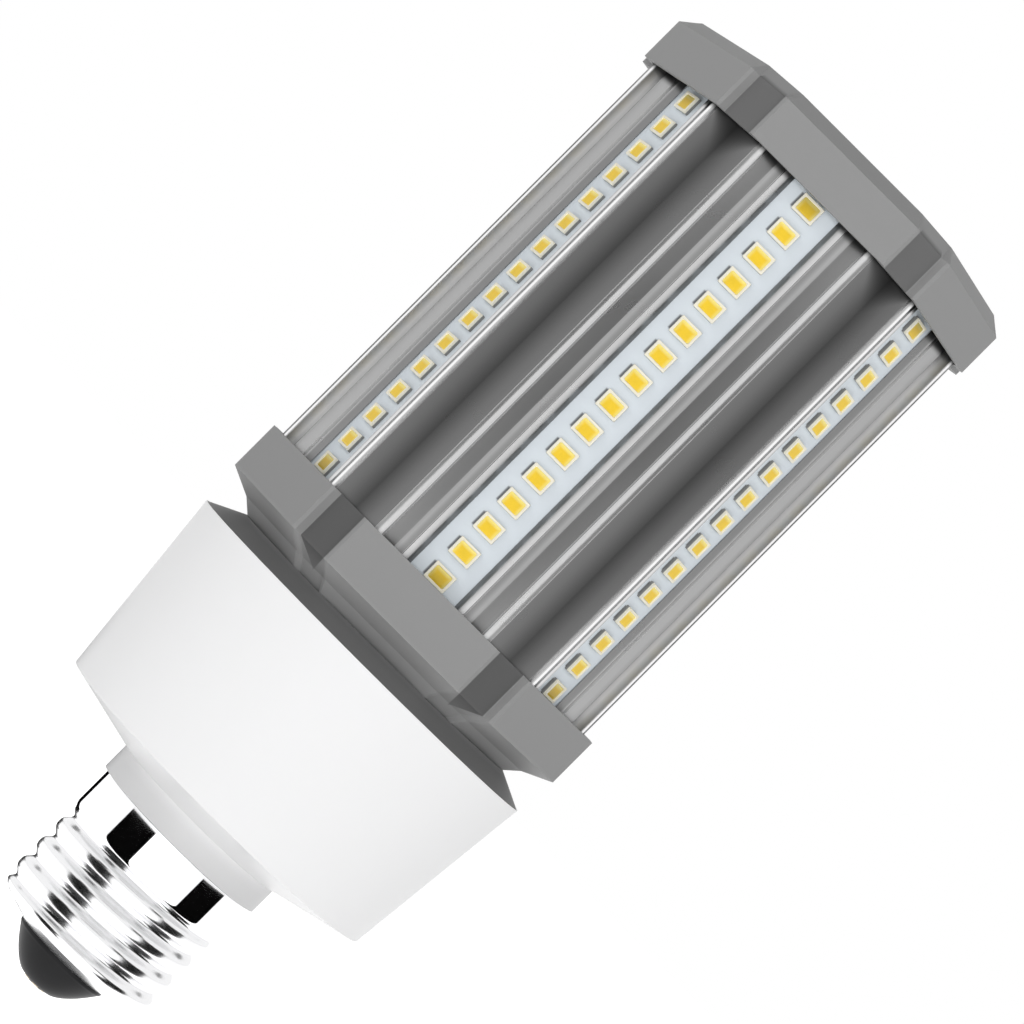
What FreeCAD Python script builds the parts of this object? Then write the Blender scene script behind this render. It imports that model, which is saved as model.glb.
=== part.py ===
import FreeCAD, Part
import math
import os

# Corn LED bulb on an E27 screw base. Millimetres, +Z along the axis from the base to the top cap.
# z = 0 is the seat where the white collar meets the screw shell. Face 1 points to -Y.

# Screw base
sleeve_r = 13.15            # plain sleeve above the thread
sleeve_h = 6.3
thread_root_r = 12.15
thread_h = 13.0
shoulder_h = 2.6            # shell's cone below the thread
shell_wall = 0.4
shell_mouth_r = 7.6         # hole that the insulator closes

# Insulator and centre contact
insulator_h = 5.3           # from the shell's end down to the nose
dome_rim_h = 0.6            # straight rim at the shell's end, then the dome's two slopes
dome_r = 4.7
dome_h = 1.5
nose_r = 2.5
insulator_rim = 1.9         # ledge inside the shell that holds the insulator
insulator_inner_h = 2.6
contact_r = 1.9
contact_head_h = 0.7
contact_proud = 0.1
contact_stem_r = 1.0
contact_stem_out = 1.2      # stem above the insulator, where the live lead is crimped

# Driver housing
collar_r = 13.85
collar_h = 3.95
foot_rise = 3.15            # height of the shallow cone between collar and side wall
side_h = 27.5
side_taper = 2.9            # the foot is this much narrower than the rim
rim_over = 1.65             # the rim stands out from the caps' pads
housing_wall = 1.8
neck_wall = 1.65
spigot_h = 15.0             # neck that the shell is pressed on
guide_grip = 1.2            # how far a guide rib holds the driver board's edge
guide_w = 4.8
guide_h = 18.0

# Lower cap
plug_depth = 4.0            # plug inside the housing's rim
flange_step = 0.2           # flange edge, inside the housing's rim
flange_rise = 2.4
waist_scale = 0.8           # waist, as a share of the pads' outline
waist_rise = 1.75
under_scale = 0.865         # same, where the flat underside of the pads turns steep
under_rise = 1.9
lower_pad_h = 7.45
screw_room = 1.65           # round the screw heads, inside the plug
lower_floor = 2.4
lower_floor_drop = 1.65     # floor's underside below the pads' lower edge
wire_hole_r = 6.5

# Caps' six pads, outside the heat sink's section
cap_wall = 0.85
cap_post = 1.65             # extra half width of a pad beyond the rail
recess_wall = 0.85          # over the creases, between the pads
cap_bevel = 0.4
upper_pad_h = 6.5
top_rise = 2.0              # bevel between the pads and the flat top
top_inset = 2.2
top_side_inset = 1.2
top_recess_inset = 1.35
roof_t = 3.2

# Heat sink extrusion, one hollow section with six lamp faces
exposed_h = 69.8
rail_a = 26.75              # rail tops, from the axis
rail_out = 10.4
rail_t = 1.2
rail_draft = 0.25
rail_bevel = 0.1
rail_depth = 1.75
rail_back = 0.45            # rail's outer side, above the valley
crease_r = 27.85            # bottom of the valley between two faces
board_floor_a = 23.0        # seat of a LED board, from the axis
lip_cover = 0.5
lip_w = 1.5
lip_h = 0.9
lip_slope = 0.65
lip_draft = 0.15
trough_w = 1.5              # flat floor between the lip and the slope up to the rail
skin_t = 2.0
web_t = 1.8
hub_a = 9.0
bore_r = 6.8
cell_bevel = 0.6
port_ring_r = 16.5
boss_r = 3.0
port_r = 1.3

# LED boards and LEDs
faces = 6
board_w = 9.0
board_t = 1.0
board_end_gap = 0.3
led_count = 16
led_pitch = 4.47
led_w = 3.5
led_l = 2.8
led_h = 0.75
led_rim = 0.4
phosphor_t = 0.1

# Link board and screws
link_t = 1.0
link_inset = 0.8
screw_head_r = 2.7
screw_head_h = 1.5
screw_grip = 10.0
screw_count = 3

# Driver
driver_w = 38.0
driver_t = 1.6
driver_front_y = 5.0
driver_foot_gap = 0.5       # board's shoulders above the housing's inner floor
driver_top_gap = 2.5        # below the lower cap's floor
tail_w = 13.0
tail_drop = 6.0             # tail's end below the collar's seat
lead_r = 0.5
live_lead_top = 1.5
live_lead_rise = 5.0        # straight run above the centre contact
neutral_x = 3.5
neutral_drop = 1.5          # below the spigot's end
led_lead_x = 3.0
led_lead_h = 9.0

# Driver components: (across X, along Z, off the board)
core_size = (20.0, 16.0, 6.0)
core_leg = 3.2
winding_h = 11.0
transformer_x = 7.5
part_gap = 0.2              # between the transformer and the choke below it
mains_capacitor_size = (5.0, 16.0)
mains_capacitor_at = (-10.5, 19.0)
output_capacitor_size = (4.0, 12.0)
output_capacitor_at = (-12.5, 7.0)
film_capacitor_size = (12.0, 5.0, 11.0)
film_capacitor_at = (-1.0, 5.0)
choke_size = (4.5, 9.0)
choke_at = (11.5, 4.8)
varistor_size = (3.2, 3.4)
varistor_at = (2.5, -3.4)
fuse_size = (1.6, 8.0)
fuse_at = (-3.6, -9.4)
rectifier_size = (8.0, 6.5, 2.6)
rectifier_at = (-8.0, 8.0)
transistor_size = (6.6, 6.1, 2.3)
transistor_at = (9.0, 14.0)
controller_size = (4.9, 3.9, 1.6)
controller_at = (0.0, 14.0)
part_bevel = 0.5

# Fits
press_fit = 0.15
slide_fit = 0.15
screw_fit = 0.05
screw_hole_fit = 0.2
past = 1.0                  # how far a cut runs past the surface it opens
corner_share = 0.45         # most of an edge that one bevel may take

# Heights worked out from the sizes
thread_top_z = -sleeve_h
thread_end_z = thread_top_z - thread_h
shell_end_z = thread_end_z - shoulder_h
nose_z = shell_end_z - insulator_h
collar_top_z = collar_h
foot_z = collar_top_z + foot_rise
rim_z = foot_z + side_h
waist_z = rim_z + flange_rise
under_z = waist_z + waist_rise
pad_z = under_z + under_rise
pad_top_z = pad_z + lower_pad_h
floor_under_z = pad_z - lower_floor_drop
floor_z = floor_under_z + lower_floor
sink_z = floor_z + link_t
upper_cap_z = pad_top_z + exposed_h
upper_pad_top_z = upper_cap_z + upper_pad_h
top_z = upper_pad_top_z + top_rise
sink_top_z = top_z - roof_t
led_mid_z = (pad_top_z + upper_cap_z) / 2
chamber_z = foot_z + housing_wall
driver_foot_z = chamber_z + driver_foot_gap
driver_top_z = floor_under_z - driver_top_gap
transformer_at = (transformer_x, choke_at[1] + choke_size[0] + part_gap + core_size[1] / 2)
insulator_top_z = shell_end_z + shell_wall + insulator_inner_h

# Distances across a face worked out from the sizes
board_top_a = board_floor_a + board_t
slot_half = board_w / 2 + slide_fit
slot_top_a = board_top_a + slide_fit
lip_in = board_w / 2 - lip_cover
lip_out = lip_in + lip_w
lip_top_a = slot_top_a + lip_h
rail_in = rail_out - rail_t
cap_a = rail_a + slide_fit + cap_wall
cap_half = rail_out + slide_fit + cap_post
recess_a = crease_r + slide_fit + recess_wall
rim_r = cap_a + rim_over
foot_r = rim_r - side_taper
waist_r = waist_scale * math.hypot(cap_a, cap_half)
chamber_r = foot_r - housing_wall
plug_r = chamber_r - press_fit
plug_bore_r = port_ring_r + screw_head_r + screw_room
spigot_r = thread_root_r - shell_wall - press_fit
neck_bore_r = spigot_r - neck_wall


def vec(x, y, z):
    return FreeCAD.Vector(x, y, z)


def flat(u, v):
    return vec(u, v, 0)


def upright(u, v):
    return vec(u, 0, v)


# Points of a closed outline through corners (u, v, bevel), where a bevel is cut that far along both edges
def bevelled(corners, place=flat):
    count = len(corners)
    points = [place(corner[0], corner[1]) for corner in corners]
    around_corners = []
    for i, point in enumerate(points):
        bevel = corners[i][2] if len(corners[i]) > 2 else 0
        if not bevel:
            around_corners.append(point)
            continue
        for other in (points[i - 1], points[(i + 1) % count]):
            way = other - point
            reach = min(bevel, corner_share * way.Length)
            way.normalize()
            around_corners.append(point + way * reach)
    return around_corners


def polygon(points):
    return Part.Face(Part.makePolygon(points + points[:1]))


def face_of(corners):
    return polygon(bevelled(corners))


def turned(corners):
    return polygon(bevelled(corners, upright)).revolve(vec(0, 0, 0), vec(0, 0, 1), 360)


def prism(face, bottom, top):
    solid = face.extrude(vec(0, 0, top - bottom))
    solid.translate(vec(0, 0, bottom))
    return solid


# Solid between two like outlines, each a list of points at its own height
def frustum(low, low_z, high, high_z):
    low = [point + vec(0, 0, low_z) for point in low]
    high = [point + vec(0, 0, high_z) for point in high]
    count = len(low)
    sides = [polygon(low), polygon(high)]
    for i in range(count):
        j = (i + 1) % count
        sides += [polygon([low[i], low[j], high[j]]), polygon([low[i], high[j], high[i]])]
    return Part.Solid(Part.Shell(sides)).removeSplitter()


def rod(radius, start, end):
    return Part.makeCylinder(radius, (end - start).Length, start, end - start)


def block(x0, x1, y0, y1, z0, z1):
    return Part.makeBox(x1 - x0, y1 - y0, z1 - z0, vec(x0, y0, z0))


# Point of a face's section: t along the face, a out from the axis; face 0 looks along -Y
def on_face(t, a, face):
    angle = math.radians(-90 + 360 / faces * face)
    return (a * math.cos(angle) - t * math.sin(angle), a * math.sin(angle) + t * math.cos(angle))


def around(section):
    corners = []
    for face in range(faces):
        corners += [(*on_face(t, a, face), r) for t, a, r in section]
    return corners


# Outline round the rails, with a V valley between neighbours
def rail_outline(apothem, half, valley_r):
    corner = math.pi / faces
    valley = (valley_r * math.sin(corner), valley_r * math.cos(corner), 0)
    return bevelled(around([(-half, apothem, 0), (half, apothem, 0), valley]))


# Six square-sided pads, with a flat recess between neighbours
def pad_outline(apothem, half, recess):
    corner = math.pi / faces
    side_a = (recess - half * math.sin(corner)) / math.cos(corner)
    return bevelled(around([(-half, side_a, 0), (-half, apothem, cap_bevel),
                            (half, apothem, cap_bevel), (half, side_a, 0)]))


def scaled(points, scale):
    return [point * scale for point in points]


def port_centres():
    step = 2 * math.pi / screw_count
    start = math.radians(-90 + 180 / faces)
    return [vec(port_ring_r * math.cos(start + step * i), port_ring_r * math.sin(start + step * i), 0)
            for i in range(screw_count)]


def make_screw_shell():
    wall = shell_wall
    return turned([
        (sleeve_r, 0), (sleeve_r, thread_top_z), (thread_root_r, thread_top_z),
        (thread_root_r, thread_end_z), (shell_mouth_r, shell_end_z), (shell_mouth_r, shell_end_z + wall),
        (thread_root_r - wall, thread_end_z + wall), (thread_root_r - wall, thread_top_z + wall),
        (sleeve_r - wall, thread_top_z + wall), (sleeve_r - wall, 0)])


def make_base_insulator():
    plug = shell_mouth_r - press_fit
    ledge_r = plug + insulator_rim
    shoulder_slope = shoulder_h / (thread_root_r - shell_wall - shell_mouth_r)
    ledge_z = shell_end_z + shell_wall + (ledge_r - shell_mouth_r) * shoulder_slope
    recess_top = nose_z + contact_head_h - contact_proud
    return turned([
        (contact_stem_r, recess_top), (contact_r, recess_top), (contact_r, nose_z),
        (nose_r, nose_z), (dome_r, nose_z + dome_h), (plug, shell_end_z - dome_rim_h),
        (plug, ledge_z), (ledge_r, ledge_z),
        (ledge_r, insulator_top_z), (contact_stem_r, insulator_top_z)])


def make_centre_contact():
    tip = nose_z - contact_proud
    head_top = tip + contact_head_h
    stem_top = insulator_top_z + contact_stem_out
    return turned([
        (0, tip), (contact_r - screw_fit, tip), (contact_r - screw_fit, head_top),
        (contact_stem_r - screw_fit, head_top), (contact_stem_r - screw_fit, stem_top), (0, stem_top)])


def make_driver_housing():
    shell = turned([
        (neck_bore_r, -spigot_h), (spigot_r, -spigot_h), (spigot_r, 0), (collar_r, 0),
        (collar_r, collar_top_z), (foot_r, foot_z), (rim_r, rim_z), (chamber_r, rim_z),
        (chamber_r, chamber_z), (neck_bore_r, chamber_z)])
    into_wall = housing_wall / 2
    rib_top_z = driver_foot_z + guide_h
    inside = rod(chamber_r + into_wall, vec(0, 0, chamber_z - into_wall), vec(0, 0, rib_top_z))
    slot = block(-driver_w / 2 - slide_fit, driver_w / 2 + slide_fit, driver_front_y - slide_fit,
                 driver_front_y + driver_t + slide_fit, driver_foot_z, rim_z)
    middle_y = driver_front_y + driver_t / 2
    for side in (-1, 1):
        near = side * (driver_w / 2 - guide_grip)
        far = side * rim_r
        rib = block(min(near, far), max(near, far), middle_y - guide_w / 2, middle_y + guide_w / 2,
                    collar_top_z, rim_z)
        shell = shell.fuse(rib.common(inside).cut(slot))
    return shell.removeSplitter()


def rail_socket(bottom, top):
    inside = rail_outline(rail_a + slide_fit, rail_out + slide_fit, crease_r + slide_fit)
    return prism(polygon(inside), bottom, top)


def screw_holes(bottom, top):
    return [rod(port_r + screw_hole_fit, centre + vec(0, 0, bottom), centre + vec(0, 0, top))
            for centre in port_centres()]


def make_lower_cap():
    pad = pad_outline(cap_a, cap_half, recess_a)
    under = scaled(pad, under_scale)
    plug_z = rim_z - plug_depth
    body = turned([
        (0, plug_z), (plug_r, plug_z), (plug_r, rim_z), (rim_r - flange_step, rim_z), (waist_r, waist_z),
        (0, waist_z)])
    body = body.fuse(frustum(scaled(pad, waist_scale), waist_z, under, under_z))
    body = body.fuse(frustum(under, under_z, pad, pad_z))
    body = body.fuse(prism(polygon(pad), pad_z, pad_top_z))
    body = body.cut(rod(plug_bore_r, vec(0, 0, plug_z - past), vec(0, 0, floor_under_z)))
    body = body.cut(rail_socket(floor_z, pad_top_z + past))
    body = body.cut(rod(wire_hole_r, vec(0, 0, floor_under_z - past), vec(0, 0, floor_z + past)))
    return body.cut(screw_holes(floor_under_z - past, floor_z + past)).removeSplitter()


def make_upper_cap():
    pad = pad_outline(cap_a, cap_half, recess_a)
    top = pad_outline(cap_a - top_inset, cap_half - top_side_inset, recess_a - top_recess_inset)
    body = prism(polygon(pad), upper_cap_z, upper_pad_top_z)
    body = body.fuse(frustum(pad, upper_pad_top_z, top, top_z))
    body = body.cut(rail_socket(upper_cap_z - past, sink_top_z))
    body = body.cut(screw_holes(sink_top_z - past, top_z + past))
    depth = screw_head_h + screw_hole_fit
    for centre in port_centres():
        body = body.cut(Part.makeCone(screw_head_r + screw_hole_fit, port_r + screw_hole_fit, depth,
                                      centre + vec(0, 0, top_z), vec(0, 0, -1)))
    return body.removeSplitter()


# Half of a lamp face, from the board's slot out to the crease
def face_section():
    foot_a = rail_a - rail_depth
    half = [
        (slot_half, board_floor_a, 0), (slot_half, slot_top_a, 0), (lip_in, slot_top_a, 0),
        (lip_in + lip_slope, lip_top_a, 0), (lip_out, lip_top_a, 0), (lip_out + lip_draft, slot_top_a, 0),
        (lip_out + trough_w, slot_top_a, 0), (rail_in - rail_draft, foot_a, 0),
        (rail_in, rail_a, rail_bevel), (rail_out, rail_a, rail_bevel), (rail_out, rail_a - rail_back, 0)]
    corner = math.pi / faces
    crease = [(crease_r * math.sin(corner), crease_r * math.cos(corner), 0)]
    return [(-t, a, r) for t, a, r in reversed(half)] + half + crease


def make_heat_sink():
    section = face_of(around(face_section()))
    cavity_a = board_floor_a - skin_t
    corner = math.pi / faces
    web = web_t / 2 / math.cos(corner)
    wide = cavity_a * math.tan(corner) - web
    narrow = hub_a * math.tan(corner) - web
    bosses = [Part.Face(Part.Wire(Part.makeCircle(boss_r, centre))) for centre in port_centres()]
    for face in range(faces):
        cell = [(*on_face(t, a, face), cell_bevel)
                for t, a in ((-wide, cavity_a), (-narrow, hub_a), (narrow, hub_a), (wide, cavity_a))]
        section = section.cut(face_of(cell).cut(bosses))
    section = section.cut(Part.Face(Part.Wire(Part.makeCircle(bore_r))))
    for centre in port_centres():
        section = section.cut(Part.Face(Part.Wire(Part.makeCircle(port_r, centre))))
    return prism(section.Faces[0], sink_z, sink_top_z)


def on_faces(shape, name):
    turn = 360 / faces
    for face in range(faces):
        copy = shape.copy()
        copy.rotate(vec(0, 0, 0), vec(0, 0, 1), turn * face)
        write(copy, name + "_" + str(face + 1))


def make_led_board():
    return block(-board_w / 2, board_w / 2, -board_top_a, -board_floor_a, sink_z, sink_top_z - board_end_gap)


def led_heights():
    return [led_mid_z + (i - (led_count - 1) / 2) * led_pitch for i in range(led_count)]


def make_led_packages():
    top = board_top_a + led_h - phosphor_t
    return Part.Compound([block(-led_w / 2, led_w / 2, -top, -board_top_a, z - led_l / 2, z + led_l / 2)
                          for z in led_heights()])


def make_phosphor():
    top = board_top_a + led_h
    half_w = led_w / 2 - led_rim
    half_l = led_l / 2 - led_rim
    return Part.Compound([block(-half_w, half_w, -top, -top + phosphor_t, z - half_l, z + half_l)
                          for z in led_heights()])


def make_link_board():
    outline = rail_outline(rail_a - link_inset, rail_out, crease_r - link_inset)
    board = prism(polygon(outline), floor_z, sink_z)
    return board.cut(screw_holes(floor_z - past, sink_z + past))


# Pan-head screws, up through the lower cap's floor
def make_lower_screws():
    screws = []
    for centre in port_centres():
        seat = centre + vec(0, 0, floor_under_z)
        head = rod(screw_head_r, seat - vec(0, 0, screw_head_h), seat)
        screws.append(head.fuse(rod(port_r - screw_fit, seat, centre + vec(0, 0, sink_z + screw_grip))))
    return Part.Compound(screws)


# Countersunk screws, down through the upper cap
def make_upper_screws():
    screws = []
    shank_r = port_r - screw_fit
    for centre in port_centres():
        top = centre + vec(0, 0, top_z)
        head = Part.makeCone(screw_head_r, shank_r, screw_head_h, top, vec(0, 0, -1))
        shank = rod(shank_r, top - vec(0, 0, screw_head_h), centre + vec(0, 0, sink_top_z - screw_grip))
        screws.append(head.fuse(shank))
    return Part.Compound(screws)


def make_driver_board():
    back = driver_front_y + driver_t
    board = block(-driver_w / 2, driver_w / 2, driver_front_y, back, driver_foot_z, driver_top_z)
    tail = block(-tail_w / 2, tail_w / 2, driver_front_y, back, -tail_drop, driver_foot_z)
    return board.fuse(tail).removeSplitter()


# Box component on the driver board, bevelled along its height
def box_part(size, at, front=True):
    x, z = at[0], driver_foot_z + at[1]
    near = driver_front_y if front else driver_front_y + driver_t
    far = near - size[2] if front else near + size[2]
    body = block(x - size[0] / 2, x + size[0] / 2, min(near, far), max(near, far),
                 z - size[1] / 2, z + size[1] / 2)
    along = [e for e in body.Edges if abs(e.tangentAt(e.FirstParameter).y) > 0.9]
    return body.makeChamfer(part_bevel, along)


# Round component that stands on the driver board's front
def make_can(size, at):
    radius, height = size
    foot = vec(at[0], driver_front_y, driver_foot_z + at[1])
    return rod(radius, foot, foot - vec(0, height, 0))


def make_transformer_core():
    x, z = transformer_at[0], driver_foot_z + transformer_at[1]
    wide, tall, deep = core_size
    middle = driver_front_y - winding_h / 2
    core = block(x - wide / 2, x + wide / 2, middle - deep / 2, middle + deep / 2,
                 z - tall / 2, z + tall / 2)
    return core.cut(block(x - wide / 2 + core_leg, x + wide / 2 - core_leg, middle - deep, middle + deep,
                          z - tall / 2 + core_leg, z + tall / 2 - core_leg))


def make_transformer_winding():
    wide, tall, deep = core_size
    gap = 2 * (core_leg + slide_fit)
    return box_part((wide - gap, tall - gap, winding_h), transformer_at)


def make_fuse():
    radius, length = fuse_size
    centre = vec(fuse_at[0], driver_front_y - radius, driver_foot_z + fuse_at[1])
    reach = vec(0, 0, length / 2)
    return rod(radius, centre - reach, centre + reach)


# Round lead along straight runs with mitred bends
def make_lead(points):
    ring = Part.Wire(Part.makeCircle(lead_r, points[0], points[1] - points[0]))
    return Part.makePolygon(points).makePipeShell([ring], True, False, 1)


def make_live_lead():
    bottom = insulator_top_z + contact_stem_out
    beside = driver_front_y - lead_r
    low = bottom + live_lead_rise
    return make_lead([vec(0, 0, bottom), vec(0, 0, low), vec(0, beside, low + beside),
                      vec(0, beside, live_lead_top)])


def make_neutral_lead():
    beside = driver_front_y - lead_r
    z = -spigot_h - neutral_drop
    reach = thread_root_r - shell_wall - slide_fit
    end_x = math.sqrt(reach ** 2 - (beside + lead_r) ** 2)
    return make_lead([vec(end_x, beside, z), vec(neutral_x, beside, z),
                      vec(neutral_x, beside, live_lead_top)])


def make_led_lead(x):
    beside = driver_front_y - lead_r
    return rod(lead_r, vec(x, beside, floor_z - led_lead_h), vec(x, beside, floor_z))


def write(shape, name):
    shape.exportStep("parts/" + name + ".step")


os.makedirs("parts", exist_ok=True)

write(make_screw_shell(), "screw_shell")
write(make_base_insulator(), "base_insulator")
write(make_centre_contact(), "centre_contact")
write(make_driver_housing(), "driver_housing")
write(make_lower_cap(), "lower_cap")
write(make_heat_sink(), "heat_sink")
write(make_upper_cap(), "upper_cap")
on_faces(make_led_board(), "led_board")
on_faces(make_led_packages(), "led_packages")
on_faces(make_phosphor(), "led_phosphor")
write(make_link_board(), "link_board")
write(make_lower_screws(), "lower_cap_screws")
write(make_upper_screws(), "upper_cap_screws")
write(make_driver_board(), "driver_board")
write(make_transformer_core(), "transformer_core")
write(make_transformer_winding(), "transformer_winding")
write(make_can(mains_capacitor_size, mains_capacitor_at), "mains_capacitor")
write(make_can(output_capacitor_size, output_capacitor_at), "output_capacitor")
write(box_part(film_capacitor_size, film_capacitor_at), "film_capacitor")
write(make_can(choke_size, choke_at), "filter_choke")
write(make_can(varistor_size, varistor_at), "varistor")
write(make_fuse(), "fuse_resistor")
write(box_part(rectifier_size, rectifier_at, False), "bridge_rectifier")
write(box_part(transistor_size, transistor_at, False), "switching_transistor")
write(box_part(controller_size, controller_at, False), "control_chip")
write(make_live_lead(), "live_lead")
write(make_neutral_lead(), "neutral_lead")
write(make_led_lead(-led_lead_x), "led_lead_negative")
write(make_led_lead(led_lead_x), "led_lead_positive")
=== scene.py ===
import bpy
import math
from mathutils import Matrix, Vector


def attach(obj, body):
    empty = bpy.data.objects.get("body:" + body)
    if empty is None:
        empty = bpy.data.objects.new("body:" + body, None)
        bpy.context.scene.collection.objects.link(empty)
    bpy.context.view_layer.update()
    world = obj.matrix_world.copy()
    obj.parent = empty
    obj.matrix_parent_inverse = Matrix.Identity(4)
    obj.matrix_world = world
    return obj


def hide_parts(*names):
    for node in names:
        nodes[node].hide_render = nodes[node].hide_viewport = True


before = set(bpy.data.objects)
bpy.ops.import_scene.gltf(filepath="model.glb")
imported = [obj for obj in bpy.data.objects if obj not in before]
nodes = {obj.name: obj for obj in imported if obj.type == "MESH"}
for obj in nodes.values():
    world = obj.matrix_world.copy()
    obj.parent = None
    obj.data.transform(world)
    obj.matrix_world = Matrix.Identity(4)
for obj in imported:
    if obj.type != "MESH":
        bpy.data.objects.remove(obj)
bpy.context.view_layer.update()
scene = bpy.context.scene
scene.view_settings.view_transform = "Standard"
mm = 0.001
faceCount = 6
print("frame loaded:", len(nodes), "nodes")


# node tree helpers, shared by shader and geometry trees
def feed(tree, socket, value):
    if isinstance(value, bpy.types.NodeSocket):
        tree.links.new(value, socket)
    else:
        socket.default_value = value


def addNode(tree, kind, inputs=None, **settings):
    node = tree.nodes.new(kind)
    for key, value in settings.items():
        setattr(node, key, value)
    for key, value in (inputs or {}).items():
        feed(tree, node.inputs[key], value)
    return node


def calc(tree, operation, a, b=0.0, c=0.0):
    node = addNode(tree, "ShaderNodeMath", operation=operation)
    for socket, value in zip(node.inputs, (a, b, c)):
        feed(tree, socket, value)
    return node.outputs[0]


def splitVector(tree, vector):
    return addNode(tree, "ShaderNodeSeparateXYZ", {"Vector": vector}).outputs


def joinVector(tree, x, y, z):
    return addNode(tree, "ShaderNodeCombineXYZ", {"X": x, "Y": y, "Z": z}).outputs[0]


def spread(tree, value, low, high, toLow=0.0, toHigh=1.0, smooth=True):
    node = addNode(tree, "ShaderNodeMapRange", interpolation_type="SMOOTHSTEP" if smooth else "LINEAR")
    for socket, number in zip(node.inputs, (value, low, high, toLow, toHigh)):
        feed(tree, socket, number)
    return node.outputs[0]


def noiseValue(tree, vector, scale, detail=2.0, roughness=0.5):
    node = addNode(tree, "ShaderNodeTexNoise", {"Vector": vector, "Scale": scale, "Detail": detail,
                                                "Roughness": roughness})
    return node.outputs["Fac"]


def blendColour(tree, factor, a, b):
    node = addNode(tree, "ShaderNodeMix", data_type="RGBA")
    feed(tree, node.inputs[0], factor)
    feed(tree, node.inputs[6], a)
    feed(tree, node.inputs[7], b)
    return node.outputs[2]


def colour(r, g, b):
    return (r, g, b, 1.0)


def grey(level):
    return colour(level, level, level)


# colour ramp of grey levels through (place in mm, level) points
def levels(tree, value, points):
    low, high = points[0][0], points[-1][0]
    node = tree.nodes.new("ShaderNodeValToRGB")
    stops = node.color_ramp.elements
    while len(stops) < len(points):
        stops.new(0.5)
    for stop, (place, level) in zip(stops, points):
        stop.position = (place - low) / (high - low)
        stop.color = grey(level)
    above = calc(tree, "SUBTRACT", value, low * mm)
    feed(tree, node.inputs[0], calc(tree, "DIVIDE", above, (high - low) * mm))
    return node.outputs[0]


def scaleColour(tree, tone, factor):
    node = addNode(tree, "ShaderNodeVectorMath", operation="SCALE")
    feed(tree, node.inputs[0], tone)
    feed(tree, node.inputs["Scale"], factor)
    return node.outputs[0]


def newGroup(name, inputs, outputs, kind="ShaderNodeTree"):
    group = bpy.data.node_groups.new(name, kind)
    for label, socketType, default in inputs:
        socket = group.interface.new_socket(label, in_out="INPUT", socket_type=socketType)
        if default is not None:
            socket.default_value = default
    for label, socketType in outputs:
        group.interface.new_socket(label, in_out="OUTPUT", socket_type=socketType)
    source = group.nodes.new("NodeGroupInput").outputs
    target = group.nodes.new("NodeGroupOutput").inputs
    return group, source, target


# moulded plastic: slow tone drift, fine moulding grain and uneven gloss
def makeMouldGroup():
    group, source, target = newGroup("mouldedSurface", [
        ("Vector", "NodeSocketVector", None), ("Colour", "NodeSocketColor", (0.5, 0.5, 0.5, 1)),
        ("Drift", "NodeSocketFloat", 0.05), ("Drift Scale", "NodeSocketFloat", 60.0),
        ("Grain Scale", "NodeSocketFloat", 3500.0), ("Gloss", "NodeSocketFloat", 0.4),
        ("Gloss Drift", "NodeSocketFloat", 0.08)],
        [("Colour", "NodeSocketColor"), ("Roughness", "NodeSocketFloat"), ("Height", "NodeSocketFloat")])
    slow = noiseValue(group, source["Vector"], source["Drift Scale"], 3.0)
    grain = noiseValue(group, source["Vector"], source["Grain Scale"], 2.0, 0.6)
    shift = calc(group, "MULTIPLY_ADD", calc(group, "SUBTRACT", slow, 0.5), source["Drift"], 1.0)
    grainDrift = calc(group, "MULTIPLY", source["Drift"], 0.6)  # the grain shifts the tone less
    shift = calc(group, "MULTIPLY_ADD", calc(group, "SUBTRACT", grain, 0.5), grainDrift, shift)
    feed(group, target["Colour"], scaleColour(group, source["Colour"], shift))
    feed(group, target["Roughness"], calc(group, "MULTIPLY_ADD", calc(group, "SUBTRACT", slow, 0.5),
                                          source["Gloss Drift"], source["Gloss"]))
    feed(group, target["Height"], grain)
    return group


# drawn or extruded metal: die lines along Z, with a little cloudiness
linePlane = 0.21 * mm  # one level for all heights, so that the lines run unbroken


def makeDrawnGroup():
    group, source, target = newGroup("drawnMetal", [
        ("Vector", "NodeSocketVector", None), ("Colour", "NodeSocketColor", (0.6, 0.6, 0.6, 1)),
        ("Line Scale", "NodeSocketFloat", 2500.0), ("Line Depth", "NodeSocketFloat", 0.1),
        ("Gloss", "NodeSocketFloat", 0.3), ("Gloss Drift", "NodeSocketFloat", 0.1)],
        [("Colour", "NodeSocketColor"), ("Roughness", "NodeSocketFloat"), ("Height", "NodeSocketFloat")])
    x, y = splitVector(group, source["Vector"])[:2]
    flattened = joinVector(group, x, y, linePlane)
    lines = noiseValue(group, flattened, source["Line Scale"], 3.0, 0.6)
    cloud = noiseValue(group, source["Vector"], 90.0, 3.0)
    shift = calc(group, "MULTIPLY_ADD", calc(group, "SUBTRACT", lines, 0.5), source["Line Depth"], 1.0)
    shift = calc(group, "MULTIPLY_ADD", calc(group, "SUBTRACT", cloud, 0.5), 0.05, shift)
    feed(group, target["Colour"], scaleColour(group, source["Colour"], shift))
    feed(group, target["Roughness"], calc(group, "MULTIPLY_ADD", calc(group, "SUBTRACT", cloud, 0.5),
                                          source["Gloss Drift"], source["Gloss"]))
    feed(group, target["Height"], lines)
    return group


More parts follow.
